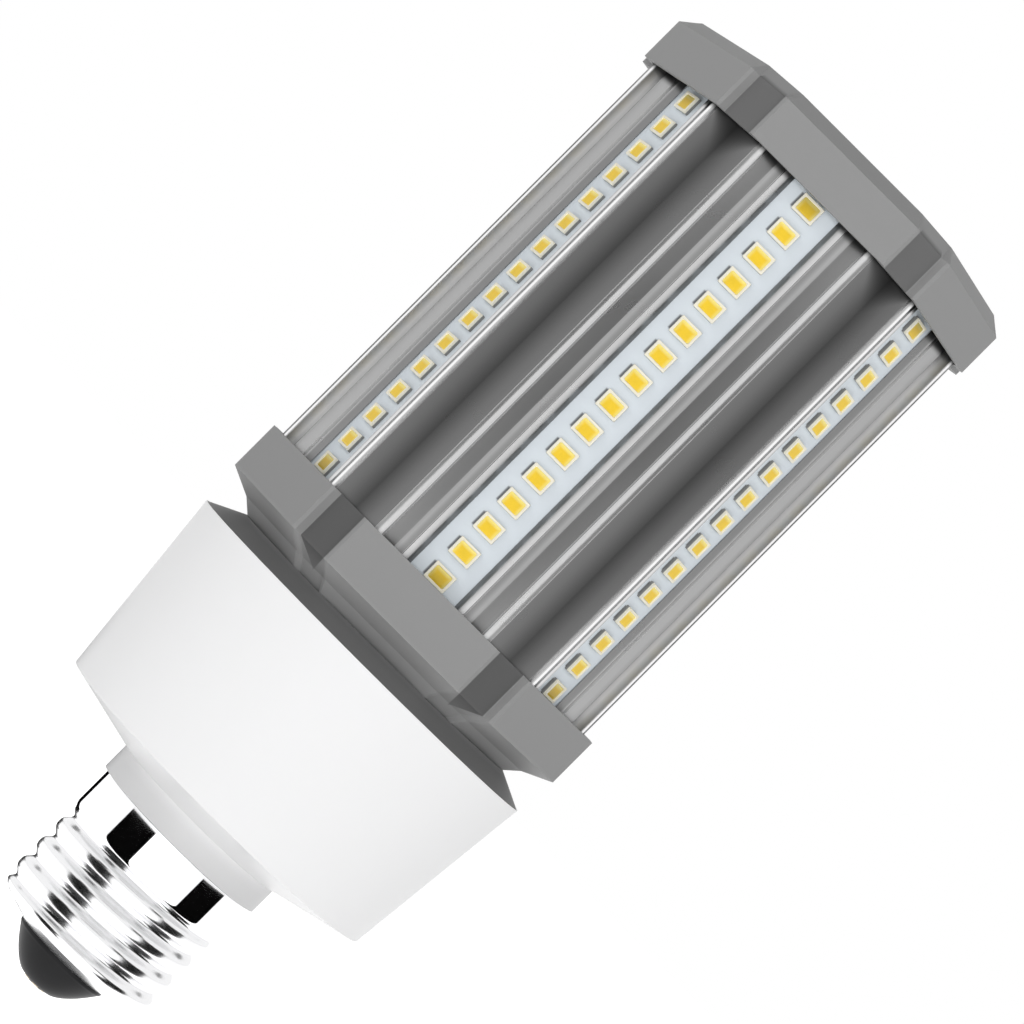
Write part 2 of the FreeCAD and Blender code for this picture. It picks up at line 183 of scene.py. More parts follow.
# place on a lamp face: distances sideways from the face's middle and out from the axis
def makeFaceGroup():
    group, source, target = newGroup("facePlace", [("Vector", "NodeSocketVector", None)], [
        ("Side", "NodeSocketFloat"), ("Across", "NodeSocketFloat"), ("Out", "NodeSocketFloat")])
    x, y = splitVector(group, source["Vector"])[:2]
    turn = calc(group, "DIVIDE", calc(group, "ARCTAN2", x, calc(group, "MULTIPLY", y, -1.0)),
                2 * math.pi / faceCount)
    folded = calc(group, "SUBTRACT", turn, calc(group, "ROUND", turn))
    angle = calc(group, "MULTIPLY", folded, 2 * math.pi / faceCount)
    radius = calc(group, "SQRT", calc(group, "MULTIPLY_ADD", x, x, calc(group, "MULTIPLY", y, y)))
    side = calc(group, "MULTIPLY", radius, calc(group, "SINE", angle))
    feed(group, target["Side"], side)
    feed(group, target["Across"], calc(group, "ABSOLUTE", side))
    feed(group, target["Out"], calc(group, "MULTIPLY", radius, calc(group, "COSINE", angle)))
    return group


# place on one LED of a row: sideways and upwards from its middle, and a painted shade that grows under the
# caps
def makeLedPlaceGroup():
    group, source, target = newGroup("ledPlace", [
        ("Vector", "NodeSocketVector", None), ("First", "NodeSocketFloat", 0.05),
        ("Pitch", "NodeSocketFloat", 0.004), ("Low", "NodeSocketFloat", 0.048),
        ("High", "NodeSocketFloat", 0.118), ("Fade", "NodeSocketFloat", 0.004),
        ("Shade", "NodeSocketFloat", 0.6)],
        [("Side", "NodeSocketFloat"), ("Rise", "NodeSocketFloat"), ("Shade", "NodeSocketFloat")])
    onFace = addNode(group, "ShaderNodeGroup", {"Vector": source["Vector"]}, node_tree=faceGroup)
    z = splitVector(group, source["Vector"])["Z"]
    steps = calc(group, "DIVIDE", calc(group, "SUBTRACT", z, source["First"]), source["Pitch"])
    steps = calc(group, "ADD", steps, 0.5)
    rise = calc(group, "SUBTRACT", calc(group, "SUBTRACT", steps, calc(group, "FLOOR", steps)), 0.5)
    toEnd = calc(group, "MINIMUM", calc(group, "SUBTRACT", z, source["Low"]),
                 calc(group, "SUBTRACT", source["High"], z))
    feed(group, target["Side"], onFace.outputs["Side"])
    feed(group, target["Rise"], calc(group, "MULTIPLY", rise, source["Pitch"]))
    feed(group, target["Shade"], spread(group, toEnd, 0.0, source["Fade"], source["Shade"], 1.0))
    return group


mouldGroup = makeMouldGroup()
drawnGroup = makeDrawnGroup()
faceGroup = makeFaceGroup()
ledGroup = makeLedPlaceGroup()


def startMaterial(name):
    material = bpy.data.materials.new(name)
    material.use_nodes = True
    tree = material.node_tree
    tree.nodes.clear()
    output = tree.nodes.new("ShaderNodeOutputMaterial")
    shader = tree.nodes.new("ShaderNodeBsdfPrincipled")
    tree.links.new(shader.outputs[0], output.inputs[0])
    place = tree.nodes.new("ShaderNodeTexCoord").outputs["Object"]
    return material, tree, shader, place


bumpDepth = 0.02 * mm  # of moulding grain and die lines


def addBump(tree, shader, height, strength):
    bump = addNode(tree, "ShaderNodeBump", {"Height": height, "Strength": strength, "Distance": bumpDepth})
    tree.links.new(bump.outputs[0], shader.inputs["Normal"])


# a Principled shader with its colour and gloss from one of the surface groups
def surfaceMaterial(name, look, group, inputs):
    material, tree, shader, place = startMaterial(name)
    inputs = {"Vector": place, "Colour": colour(*look["tone"]), "Gloss": look["rough"], **inputs}
    surface = addNode(tree, "ShaderNodeGroup", inputs, node_tree=group).outputs
    feed(tree, shader.inputs["Base Color"], surface["Colour"])
    feed(tree, shader.inputs["Roughness"], surface["Roughness"])
    return material, tree, shader, surface["Height"]


def mouldedPlastic(name, look):
    material, tree, shader, height = surfaceMaterial(name, look, mouldGroup, {
        "Drift": look.get("drift", 0.05), "Grain Scale": look.get("grainScale", 3500.0),
        "Gloss Drift": look.get("roughDrift", 0.08)})
    shader.inputs["Specular IOR Level"].default_value = look.get("gloss", 0.5)
    addBump(tree, shader, height, look.get("bump", 0.15))
    return material


def drawnMetal(name, look):
    material, tree, shader, height = surfaceMaterial(name, look, drawnGroup, {
        "Line Scale": look.get("lineScale", 2500.0), "Line Depth": look.get("lineDepth", 0.1),
        "Gloss Drift": look.get("roughDrift", 0.06)})
    shader.inputs["Metallic"].default_value = 1.0
    addBump(tree, shader, height, look.get("bump", 0.08))
    return material


# tree, shader and coordinates of a finished material, to work further on it
def openMaterial(material):
    tree = material.node_tree
    shader = next(node for node in tree.nodes if node.type == "BSDF_PRINCIPLED")
    place = next(node for node in tree.nodes if node.type == "TEX_COORD").outputs["Object"]
    return tree, shader, place


def fedBy(socket):
    return socket.links[0].from_socket


def faceNodes(name):
    return ["%s_%d" % (name, face + 1) for face in range(faceCount)]


def dress(nodeNames, material):
    for name in nodeNames:
        mesh = nodes[name].data
        mesh.materials.clear()
        mesh.materials.append(material)


# grey moulded caps, with painted shade in the recesses between their pads and painted shade by height, darker
# towards the housing
capLook = {
    "tone": (0.40, 0.40, 0.40), "rough": 0.55, "drift": 0.04, "grainScale": 5000.0, "bump": 0.25,
    "gloss": 0.35, "padEdge": 12.22 * mm, "recessStart": 12.4 * mm,
    # painted shade in the recesses between the pads, deeper on the lower cap
    "recessShade": (0.33, 0.46), "lowerUntil": 60 * mm, "upperFrom": 110 * mm,  # lower cap, upper cap
    "recessFrom": 36.9 * mm, "recessFull": 41.0 * mm, "recessEnd": 124.4 * mm, "recessGone": 125.2 * mm,
    # painted shade by height, darkest on the lower cap's flange
    "shadeByHeight": [  # mm, brightness
        (34.0, 0.41), (36.8, 0.43), (37.2, 0.80), (39.5, 0.88), (40.5, 0.80), (41.0, 0.71), (48.0, 0.73),
        (126.0, 0.75)],
}


def makeCapPlastic():
    look = capLook
    material = mouldedPlastic("capPlastic", look)
    tree, shader, place = openMaterial(material)
    onFace = addNode(tree, "ShaderNodeGroup", {"Vector": place}, node_tree=faceGroup)
    z = splitVector(tree, place)["Z"]
    # painted recess shade, faded out at the bottom and at the top
    recess = spread(tree, onFace.outputs["Across"], look["padEdge"], look["recessStart"])
    recess = calc(tree, "MULTIPLY", recess, spread(tree, z, look["recessFrom"], look["recessFull"]))
    recess = calc(tree, "MULTIPLY", recess, spread(tree, z, look["recessGone"], look["recessEnd"]))
    deep = spread(tree, z, look["lowerUntil"], look["upperFrom"], *look["recessShade"])
    shade = calc(tree, "MULTIPLY_ADD", recess, calc(tree, "SUBTRACT", deep, 1.0), 1.0)
    # painted shade by height
    shade = calc(tree, "MULTIPLY", shade, levels(tree, z, look["shadeByHeight"]))
    plain = fedBy(shader.inputs["Base Color"])
    feed(tree, shader.inputs["Base Color"], scaleColour(tree, plain, shade))
    return material


dress(["lower_cap", "upper_cap"], makeCapPlastic())

# white driver housing, with painted shade at the collar
housingLook = {
    "tone": (0.93, 0.93, 0.935), "rough": 0.38, "drift": 0.02, "grainScale": 4000.0, "bump": 0.06,
    "gloss": 0.4, "shadeByHeight": [(0.0, 0.70), (2.5, 0.75), (3.8, 0.84), (4.3, 0.94), (7.0, 1.0), (35.0, 1.0)],
}


def makeHousingPlastic():
    look = housingLook
    material = mouldedPlastic("housingPlastic", look)
    tree, shader, place = openMaterial(material)
    z = splitVector(tree, place)["Z"]
    plain = fedBy(shader.inputs["Base Color"])
    # painted shade at the collar, by height
    feed(tree, shader.inputs["Base Color"], scaleColour(tree, plain, levels(tree, z, look["shadeByHeight"])))
    return material


dress(["driver_housing"], makeHousingPlastic())
print("caps and housing dressed")

# extruded heat sink with painted light and shade: painted highlights on the rails and lips, painted shade in
# the troughs and valleys
sinkLook = {
    "rough": 0.28, "roughDrift": 0.04, "lineScale": 1800.0, "lineDepth": 0.06,
    # brightness across each face: painted highlights on lips and rails, painted shade in troughs and valleys
    "across": [  # mm from the face's middle, brightness
        (0.0, 0.25), (4.5, 0.25), (4.62, 0.42), (4.95, 0.66), (5.2, 0.76), (5.48, 0.76), (5.56, 0.93),
        (5.62, 0.93), (5.7, 0.42), (6.1, 0.45), (6.6, 0.60), (6.95, 0.56), (7.1, 0.46), (7.3, 0.42),
        (8.8, 0.45), (9.0, 0.45), (9.2, 0.66), (9.45, 0.98), (9.85, 0.95), (10.05, 0.55), (10.40, 0.55),
        (10.45, 0.20), (11.0, 0.19), (11.7, 0.172), (12.5, 0.138), (13.2, 0.107), (13.9, 0.08), (14.2, 0.08)],
    "railHeight": (25.05, 26.66), "innerSide": (8.97, 9.21),  # mm, as are the outer ones
    "outerSide": (10.39, 10.41), "outerHeight": (26.38, 27.0), "outerSoft": 0.03,
    # painted highlight on the rails' outer sides, painted light and shade down their inner sides
    "railOuterHighlight": 0.95, "railInnerLightAndShade": [(25.0, 0.85), (25.6, 0.95), (26.1, 0.7), (26.5, 0.5), (27.0, 0.6)],
    "capEdge": 117.9 * mm, "valleyStart": 10.5 * mm, "valleyEnd": 13.9 * mm,
    "shadow": 0.25, "shadowReach": (1.0 * mm, 7.0 * mm),  # under the upper cap, longer in the valleys
    "lines": 0.04,
    "rounds": [(4.7 * mm, 0.8 * mm, -0.27), (9.85 * mm, 0.57 * mm, -0.41)],  # lip, rail: from, wide, slope
}


# 1 from low to high in mm, with soft edges outside them
def between(tree, value, low, high, soft=0.04):
    rising = spread(tree, value, (low - soft) * mm, low * mm)
    return calc(tree, "MULTIPLY", rising, spread(tree, value, (high + soft) * mm, high * mm))


def makeSinkMetal():
    look = sinkLook
    material, tree, shader, place = startMaterial("sinkMetal")
    onFace = addNode(tree, "ShaderNodeGroup", {"Vector": place}, node_tree=faceGroup)
    across, out = onFace.outputs["Across"], onFace.outputs["Out"]
    z = splitVector(tree, place)["Z"]
    # painted highlights and painted shade across each face
    tone = levels(tree, across, look["across"])
    railSide = between(tree, out, *look["railHeight"])
    outer = between(tree, across, *look["outerSide"], look["outerSoft"])
    outer = calc(tree, "MULTIPLY", outer, railSide)
    outer = calc(tree, "MULTIPLY", outer, between(tree, out, *look["outerHeight"]))
    inner = calc(tree, "MULTIPLY", between(tree, across, *look["innerSide"]), railSide)
    # painted highlight on the rails' outer sides, painted light and shade on their inner sides
    tone = blendColour(tree, outer, tone, grey(look["railOuterHighlight"]))
    tone = blendColour(tree, inner, tone, levels(tree, out, look["railInnerLightAndShade"]))
    # painted shadow under the upper cap, reaching further down in the valleys
    reach = spread(tree, across, look["valleyStart"], look["valleyEnd"], *look["shadowReach"], False)
    under = calc(tree, "DIVIDE", calc(tree, "SUBTRACT", look["capEdge"], z), reach)
    tone = scaleColour(tree, tone, spread(tree, under, 0.0, 1.0, look["shadow"], 1.0))
    surface = addNode(tree, "ShaderNodeGroup", {
        "Vector": place, "Colour": tone, "Line Scale": look["lineScale"], "Line Depth": look["lineDepth"],
        "Gloss": look["rough"], "Gloss Drift": look["roughDrift"]}, node_tree=drawnGroup)
    feed(tree, shader.inputs["Base Color"], surface.outputs["Colour"])
    feed(tree, shader.inputs["Roughness"], surface.outputs["Roughness"])
    shader.inputs["Metallic"].default_value = 1.0
    addBump(tree, shader, surface.outputs["Height"], look["lines"])
    height = 0.0
    for start, wide, slope in look["rounds"]:
        past = calc(tree, "MAXIMUM", calc(tree, "SUBTRACT", across, start), 0.0)
        height = calc(tree, "MULTIPLY_ADD", calc(tree, "MINIMUM", past, wide), slope, height)
    turned = addNode(tree, "ShaderNodeBump", {  # the rolled edges, a height in metres
        "Height": height, "Strength": 1.0, "Distance": 1.0, "Normal": fedBy(shader.inputs["Normal"])})
    tree.links.new(turned.outputs[0], shader.inputs["Normal"])
    return material


dress(["heat_sink"], makeSinkMetal())
print("heat sink dressed")

# LED boards: white solder mask, a dark mark beside one end of each LED
rowLook = {
    "count": 16, "pitch": 4.47 * mm, "middle": 83.0 * mm,
    # painted shade on the LEDs beside the caps
    "low": 48.1 * mm, "high": 117.9 * mm, "fade": 4.0 * mm, "shade": 0.62,  # darker beside the caps
}
firstLed = rowLook["middle"] - (rowLook["count"] - 1) / 2 * rowLook["pitch"]
boardLook = {
    "tone": (0.75, 0.81, 0.86), "rough": 0.45, "drift": 0.03, "grainScale": 2500.0, "bump": 0.05,
    "darkMarkTone": (0.20, 0.21, 0.22), "darkMarkFrom": -2.08 * mm, "darkMarkTo": -1.6 * mm, "darkMarkHalf": 1.15 * mm,
    "darkMarkSoft": 0.14 * mm,
}


def placeOnLed(tree, place):
    return addNode(tree, "ShaderNodeGroup", {
        "Vector": place, "First": firstLed, "Pitch": rowLook["pitch"], "Low": rowLook["low"],
        "High": rowLook["high"], "Fade": rowLook["fade"], "Shade": rowLook["shade"]},
        node_tree=ledGroup).outputs


def makeBoardMask():
    look = boardLook
    material = mouldedPlastic("boardMask", look)
    tree, shader, place = openMaterial(material)
    onLed = placeOnLed(tree, place)
    soft, half = look["darkMarkSoft"], look["darkMarkHalf"]
    # dark mark on the board beside one end of each LED
    inside = spread(tree, onLed["Side"], look["darkMarkFrom"] - soft, look["darkMarkFrom"] + soft)
    near = spread(tree, onLed["Side"], look["darkMarkTo"] + soft, look["darkMarkTo"])
    inside = calc(tree, "MULTIPLY", inside, near)
    beside = spread(tree, calc(tree, "ABSOLUTE", onLed["Rise"]), half + soft, half - soft)
    inside = calc(tree, "MULTIPLY", inside, beside)
    plain = fedBy(shader.inputs["Base Color"])
    feed(tree, shader.inputs["Base Color"], blendColour(tree, inside, plain, colour(*look["darkMarkTone"])))
    return material


dress(faceNodes("led_board"), makeBoardMask())


# geometry node tools
def newTree(name, inputs):
    return newGroup(name, inputs, [("Geometry", "NodeSocketGeometry")], "GeometryNodeTree")


def socketId(group, label):
    for item in group.interface.items_tree:
        if item.item_type == "SOCKET" and item.in_out == "INPUT" and item.name == label:
            return item.identifier


def newPiece(name, vertices, edges, faces):
    mesh = bpy.data.meshes.new(name)
    mesh.from_pydata(vertices, edges, faces)
    mesh.update()
    piece = bpy.data.objects.new(name, mesh)
    scene.collection.objects.link(piece)
    return piece


def bakeTree(name, host, group, values):
    modifier = host.modifiers.new("tree", "NODES")
    modifier.node_group = group
    for label, value in values.items():
        modifier[socketId(group, label)] = value
    graph = bpy.context.evaluated_depsgraph_get()
    mesh = bpy.data.meshes.new_from_object(host.evaluated_get(graph))
    bpy.data.objects.remove(host)
    mesh.name = name
    piece = bpy.data.objects.new(name, mesh)
    scene.collection.objects.link(piece)
    return piece


# every tree ends in real, painted geometry
def endTree(group, last, source, target):
    real = addNode(group, "GeometryNodeRealizeInstances", {"Geometry": last.outputs[0]})
    painted = addNode(group, "GeometryNodeSetMaterial", {
        "Geometry": real.outputs[0], "Material": source["Material"]})
    feed(group, target["Geometry"], painted.outputs[0])


# a line of edges through (radius, height) points in mm
def newProfile(name, points):
    edges = [(i, i + 1) for i in range(len(points) - 1)]
    return newPiece(name, [(radius * mm, 0, z * mm) for radius, z in points], edges, [])


def finishPiece(piece, slot, *replaced):
    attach(piece, "root")
    if replaced:
        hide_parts(*replaced)
    print("piece", piece.name, len(piece.data.polygons), "faces")


# rolled screw shell with its thread
shellLook = {
    "tone": (0.90, 0.90, 0.91), "rough": 0.045, "roughDrift": 0.03, "lineDepth": 0.02, "bump": 0.01,
    "threadRough": 0.15, "sleeveEnd": -5.9 * mm, "threadStart": -7.3 * mm,  # the thread is duller
    "pitch": 3.629 * mm, "depth": 0.95 * mm, "phase": 0.15, "groove": 1.7,  # over 1: broad crests
    "topFade": (-6.0 * mm, -7.6 * mm), "endFade": (-18.9 * mm, -20.4 * mm), "turns": 240, "rows": 260,
    "outer": [  # radius, height in mm
        (13.15, 0.0), (13.15, -5.7), (13.05, -6.1), (12.7, -6.6), (12.58, -7.2), (12.58, -19.0),
        (12.5, -19.6), (12.2, -20.1), (11.6, -20.5), (8.4, -21.6), (7.9, -21.75), (7.6, -21.9)],
    "wall": 0.4, "threadRoom": 0.5, "threadSpan": (-19.5, -6.5),  # inner wall, clear of the grooves
}


# turns a profile in XZ round the axis, with a thread between the top and the low fade
def makeShellTree():
    group, source, target = newTree("threadedShell", [
        ("Geometry", "NodeSocketGeometry", None), ("Turns", "NodeSocketInt", 240),
        ("Rows", "NodeSocketInt", 260), ("Pitch", "NodeSocketFloat", 0.0036),
        ("Depth", "NodeSocketFloat", 0.001), ("Phase", "NodeSocketFloat", 0.0),
        ("Groove", "NodeSocketFloat", 1.0), ("Join", "NodeSocketFloat", 0.000002),
        ("Top Start", "NodeSocketFloat", 0.0), ("Top End", "NodeSocketFloat", 0.0),
        ("Low Start", "NodeSocketFloat", 0.0), ("Low End", "NodeSocketFloat", 0.0),
        ("Material", "NodeSocketMaterial", None)])
    profile = addNode(group, "GeometryNodeMeshToCurve", {"Mesh": source["Geometry"]}).outputs[0]
    grid = addNode(group, "GeometryNodeMeshGrid", {
        "Size X": 1.0, "Size Y": 1.0, "Vertices X": source["Turns"], "Vertices Y": source["Rows"]})
    x, y = splitVector(group, group.nodes.new("GeometryNodeInputPosition").outputs[0])[:2]
    share = calc(group, "ADD", y, 0.5)
    turn = calc(group, "ADD", x, 0.5)
    angle = calc(group, "MULTIPLY", turn, 2 * math.pi)
    sample = addNode(group, "GeometryNodeSampleCurve", mode="FACTOR", use_all_curves=True)
    feed(group, sample.inputs["Curves"], profile)
    feed(group, sample.inputs["Factor"], share)
    onProfile = splitVector(group, sample.outputs["Position"])
    radius, height = onProfile["X"], onProfile["Z"]
    wave = calc(group, "SUBTRACT", calc(group, "DIVIDE", height, source["Pitch"]), turn)
    wave = calc(group, "MULTIPLY", calc(group, "ADD", wave, source["Phase"]), 2 * math.pi)
    wave = calc(group, "COSINE", wave)
    groove = calc(group, "POWER", calc(group, "MULTIPLY_ADD", wave, -0.5, 0.5), source["Groove"])
    wave = calc(group, "MULTIPLY_ADD", groove, -2.0, 1.0)
    weight = calc(group, "MULTIPLY", spread(group, height, source["Top Start"], source["Top End"]),
                  spread(group, height, source["Low End"], source["Low Start"]))
    depth = calc(group, "MULTIPLY", weight, source["Depth"])
    ridge = calc(group, "MULTIPLY", calc(group, "MULTIPLY", wave, 0.5), depth)
    swept = calc(group, "ADD", radius, ridge)
    place = joinVector(group, calc(group, "MULTIPLY", swept, calc(group, "COSINE", angle)),
                       calc(group, "MULTIPLY", swept, calc(group, "SINE", angle)), height)
    moved = addNode(group, "GeometryNodeSetPosition", {"Geometry": grid.outputs["Mesh"], "Position": place})
    joined = addNode(group, "GeometryNodeMergeByDistance", {
        "Geometry": moved.outputs[0], "Distance": source["Join"]})
    smooth = addNode(group, "GeometryNodeSetShadeSmooth", {"Geometry": joined.outputs[0]})
    endTree(group, smooth, source, target)
    return group


shellTree = makeShellTree()


def makeScrewShell():
    look = shellLook
    metal = drawnMetal("shellPlate", look)
    tree, shader, place = openMaterial(metal)
    z = splitVector(tree, place)["Z"]
    dulled = spread(tree, z, look["sleeveEnd"], look["threadStart"], 0.0, look["threadRough"])
    polished = fedBy(shader.inputs["Roughness"])
    feed(tree, shader.inputs["Roughness"], calc(tree, "ADD", polished, dulled))
    outer, wall, room = look["outer"], look["wall"], look["threadRoom"]
    inner = [(radius - wall, z + (wall if i > 1 else 0)) for i, (radius, z) in enumerate(outer)]
    inner[-1] = (outer[-1][0], outer[-1][1] + wall)
    spanLow, spanHigh = look["threadSpan"]
    inner = [(radius - room if spanLow < z < spanHigh else radius, z) for radius, z in inner]
    host = newProfile("shellProfile", outer + inner[::-1] + outer[:1])
    shell = bakeTree("screwShell", host, shellTree, {
        "Turns": look["turns"], "Rows": look["rows"], "Pitch": look["pitch"], "Depth": look["depth"],
        "Phase": look["phase"], "Groove": look["groove"],
        "Top Start": look["topFade"][0], "Top End": look["topFade"][1],
        "Low Start": look["endFade"][0], "Low End": look["endFade"][1], "Material": metal})
    finishPiece(shell, "shell_metal", "screw_shell")


makeScrewShell()

# black insulator under the shell: a turned dome with a flat nose
insulatorLook = {
    "tone": (0.024, 0.024, 0.025), "rough": 0.35, "drift": 0.1, "grainScale": 2500.0, "bump": 0.03,
    "gloss": 0.06, "turns": 96, "rows": 220,
    "ledge": (9.35, -18.9, -20.4),  # mm: radius, top, end of the part inside the shell
    "bore": (1.95, -26.55, 1.05),  # seat radius and end, then the rivet's hole
    "rim": 7.45, "rimTo": -22.35, "lip": 0.18, "nose": 2.05, "noseEnd": -27.2, "power": 0.62, "steps": 24,
}


def makeInsulator():
    look = insulatorLook
    plastic = mouldedPlastic("insulatorPlastic", look)
    rim, rimTo, nose, noseEnd = look["rim"], look["rimTo"], look["nose"], look["noseEnd"]
    ledge, ledgeTop, ledgeEnd = look["ledge"]
    seat, seatEnd, bore = look["bore"]
    domeRadius, domeTop = rim - look["lip"], rimTo - look["lip"]
    profile = [(bore, ledgeTop), (ledge, ledgeTop), (ledge, ledgeEnd), (rim, ledgeEnd), (rim, rimTo),
               (domeRadius, domeTop)]
    for i in range(look["steps"]):
        rise = 1 - i / look["steps"]
        radius = nose + (domeRadius - nose) * rise ** look["power"]
        profile.append((radius, noseEnd + (domeTop - noseEnd) * rise))
    profile += [(seat, noseEnd), (seat, seatEnd), (bore, seatEnd), (bore, ledgeTop)]
    host = newProfile("insulatorProfile", profile)
    dome = bakeTree("insulatorDome", host, shellTree, {
        "Turns": look["turns"], "Rows": look["rows"], "Depth": 0.0, "Material": plastic})
    finishPiece(dome, "insulator_black", "base_insulator")


makeInsulator()

# rivet under the insulator's nose
contactLook = {"tone": (0.62, 0.52, 0.36), "rough": 0.3}
dress(["centre_contact"], drawnMetal("contactMetal", contactLook))

# surface-mount LEDs: cream package, phosphor window
ledLook = {
    "seat": 24.0 * mm, "width": 3.5 * mm, "length": 2.8 * mm, "height": 0.75 * mm, "corner": 0.10 * mm,
    "rim": 0.42 * mm, "rimSlope": 0.08 * mm, "dip": 0.16 * mm,  # round the window
    "bevelFrom": 0.55, "bevel": (0.04 * mm, 0.08 * mm), "bevelDrop": 0.03 * mm,  # round the top
    "windowDepth": 0.05 * mm, "bulgeIn": 0.25 * mm, "bulge": 0.04 * mm, "windowCorner": 1.5,
    "package": {"tone": (0.92, 0.88, 0.74), "rough": 0.35, "drift": 0.03, "bump": 0.03},
    "darkFootHeight": 0.42 * mm, "darkFootTone": (0.24, 0.24, 0.23), "darkFootSoft": 0.05 * mm,
    "phosphorTone": (0.94, 0.63, 0.016), "phosphorDrift": 0.16, "phosphorDriftScale": 700.0,
    "phosphorRough": 0.3,
    # the phosphor pales towards its edges; the pale edge is shifted upward as a painted highlight
    "paleTone": (0.95, 0.79, 0.22), "paleFrom": 0.55, "paleTo": 1.05, "paleHighlightShift": 0.22 * mm,
}


# repeats one piece along Z in a row, and the row round the axis
def makeRowTree():
    group, source, target = newTree("ledRows", [
        ("Geometry", "NodeSocketGeometry", None), ("Count", "NodeSocketInt", 16),
        ("Pitch", "NodeSocketFloat", 0.004), ("First", "NodeSocketFloat", 0.0),
        ("Seat", "NodeSocketFloat", 0.02), ("Faces", "NodeSocketInt", 6),
        ("Turn", "NodeSocketFloat", 0.0), ("Material", "NodeSocketMaterial", None)])
    start = joinVector(group, 0.0, calc(group, "MULTIPLY", source["Seat"], -1.0), source["First"])
    row = addNode(group, "GeometryNodeMeshLine", {
        "Count": source["Count"], "Start Location": start,
        "Offset": joinVector(group, 0.0, 0.0, source["Pitch"])})
    placed = addNode(group, "GeometryNodeInstanceOnPoints", {
        "Points": row.outputs[0], "Instance": source["Geometry"]})
    ring = addNode(group, "GeometryNodeMeshLine", {
        "Count": source["Faces"], "Start Location": (0.0, 0.0, 0.0), "Offset": (0.0, 0.0, 0.0)})
    index = group.nodes.new("GeometryNodeInputIndex").outputs[0]
    turn = calc(group, "DIVIDE", calc(group, "MULTIPLY", index, 2 * math.pi), source["Faces"])
    turn = calc(group, "ADD", turn, source["Turn"])
    around = addNode(group, "GeometryNodeInstanceOnPoints", {
        "Points": ring.outputs[0], "Instance": placed.outputs[0],
        "Rotation": joinVector(group, 0.0, 0.0, turn)})
    endTree(group, around, source, target)
    return group


rowTree = makeRowTree()


def rowsOf(name, vertices, faces, material):
    host = newPiece(name + "One", vertices, [], faces)
    return bakeTree(name, host, rowTree, {
        "Count": rowLook["count"], "Pitch": rowLook["pitch"], "First": firstLed, "Seat": ledLook["seat"],
        "Faces": faceCount, "Material": material})


# walls between rings of corners, closed at both ends
def ringFaces(rings, around):
    faces = []
    for ring in range(rings - 1):
        low, high = ring * around, (ring + 1) * around
        for i in range(around):
            j = (i + 1) % around
            faces.append((low + i, low + j, high + j, high + i))
    faces.append(tuple(range(around - 1, -1, -1)))
    faces.append(tuple(range((rings - 1) * around, rings * around)))
    return faces


# LED-sized rings with cut corners, stepped outwards from the board: inset, cut, out
def steppedBlock(rings):
    vertices = []
    for inset, cut, out in rings:
        wide, tall = ledLook["width"] / 2 - inset, ledLook["length"] / 2 - inset
        corners = [(-wide + cut, -tall), (wide - cut, -tall), (wide, -tall + cut), (wide, tall - cut),
                   (wide - cut, tall), (-wide + cut, tall), (-wide, tall - cut), (-wide, -tall + cut)]
        vertices += [(x, -out, z) for x, z in corners]
    return vertices, ringFaces(len(rings), len(corners))


# cream body, darker round its foot
def makePackagePlastic():
    look = ledLook
    material = mouldedPlastic("packagePlastic", look["package"])
    tree, shader, place = openMaterial(material)
    out = addNode(tree, "ShaderNodeGroup", {"Vector": place}, node_tree=faceGroup).outputs["Out"]
    split, soft = look["seat"] + look["darkFootHeight"], look["darkFootSoft"]
    body = spread(tree, out, split - soft, split + soft)
    plain = fedBy(shader.inputs["Base Color"])
    feed(tree, shader.inputs["Base Color"], blendColour(tree, body, colour(*look["darkFootTone"]), plain))
    return material


def makePhosphor():
    look = ledLook
    material, tree, shader, place = startMaterial("phosphor")
    onLed = placeOnLed(tree, place)
    wide = calc(tree, "DIVIDE", calc(tree, "ABSOLUTE", onLed["Side"]), look["width"] / 2 - look["rim"])
    # painted highlight: the pale edge shifted upward
    lifted = calc(tree, "ADD", onLed["Rise"], look["paleHighlightShift"])
    tall = calc(tree, "DIVIDE", calc(tree, "ABSOLUTE", lifted), look["length"] / 2 - look["rim"])
    edge = spread(tree, calc(tree, "MAXIMUM", wide, tall), look["paleFrom"], look["paleTo"])
    tone = blendColour(tree, edge, colour(*look["phosphorTone"]), colour(*look["paleTone"]))
    # the phosphor takes the painted shade beside the caps
    surface = addNode(tree, "ShaderNodeGroup", {
        "Vector": place, "Colour": scaleColour(tree, tone, onLed["Shade"]), "Gloss": look["phosphorRough"],
        "Drift": look["phosphorDrift"], "Drift Scale": look["phosphorDriftScale"]}, node_tree=mouldGroup)
    feed(tree, shader.inputs["Base Color"], surface.outputs["Colour"])
    feed(tree, shader.inputs["Roughness"], surface.outputs["Roughness"])
    return material


def makeLeds():
    look = ledLook
    top, edge, rim, dip = look["height"], look["corner"], look["rim"], look["dip"]
    firstBevel, lastBevel = look["bevel"]
    windowEdge, sunk = edge * look["windowCorner"], top - dip
    body = steppedBlock([
        (0.0, edge, 0.0), (0.0, edge, top * look["bevelFrom"]), (firstBevel, edge, top - look["bevelDrop"]),
        (lastBevel, edge, top), (rim - look["rimSlope"], windowEdge, top), (rim, windowEdge, sunk)])
    packages = rowsOf("ledPackages", *body, makePackagePlastic())
    finishPiece(packages, "led_body", *faceNodes("led_packages"))
    window = steppedBlock([
        (rim, windowEdge, sunk - look["windowDepth"]), (rim, windowEdge, sunk),
        (rim + look["bulgeIn"], windowEdge, sunk + look["bulge"])])
    phosphors = rowsOf("ledPhosphor", *window, makePhosphor())
    finishPiece(phosphors, "led_phosphor", *faceNodes("led_phosphor"))


makeLeds()
print("LEDs placed")

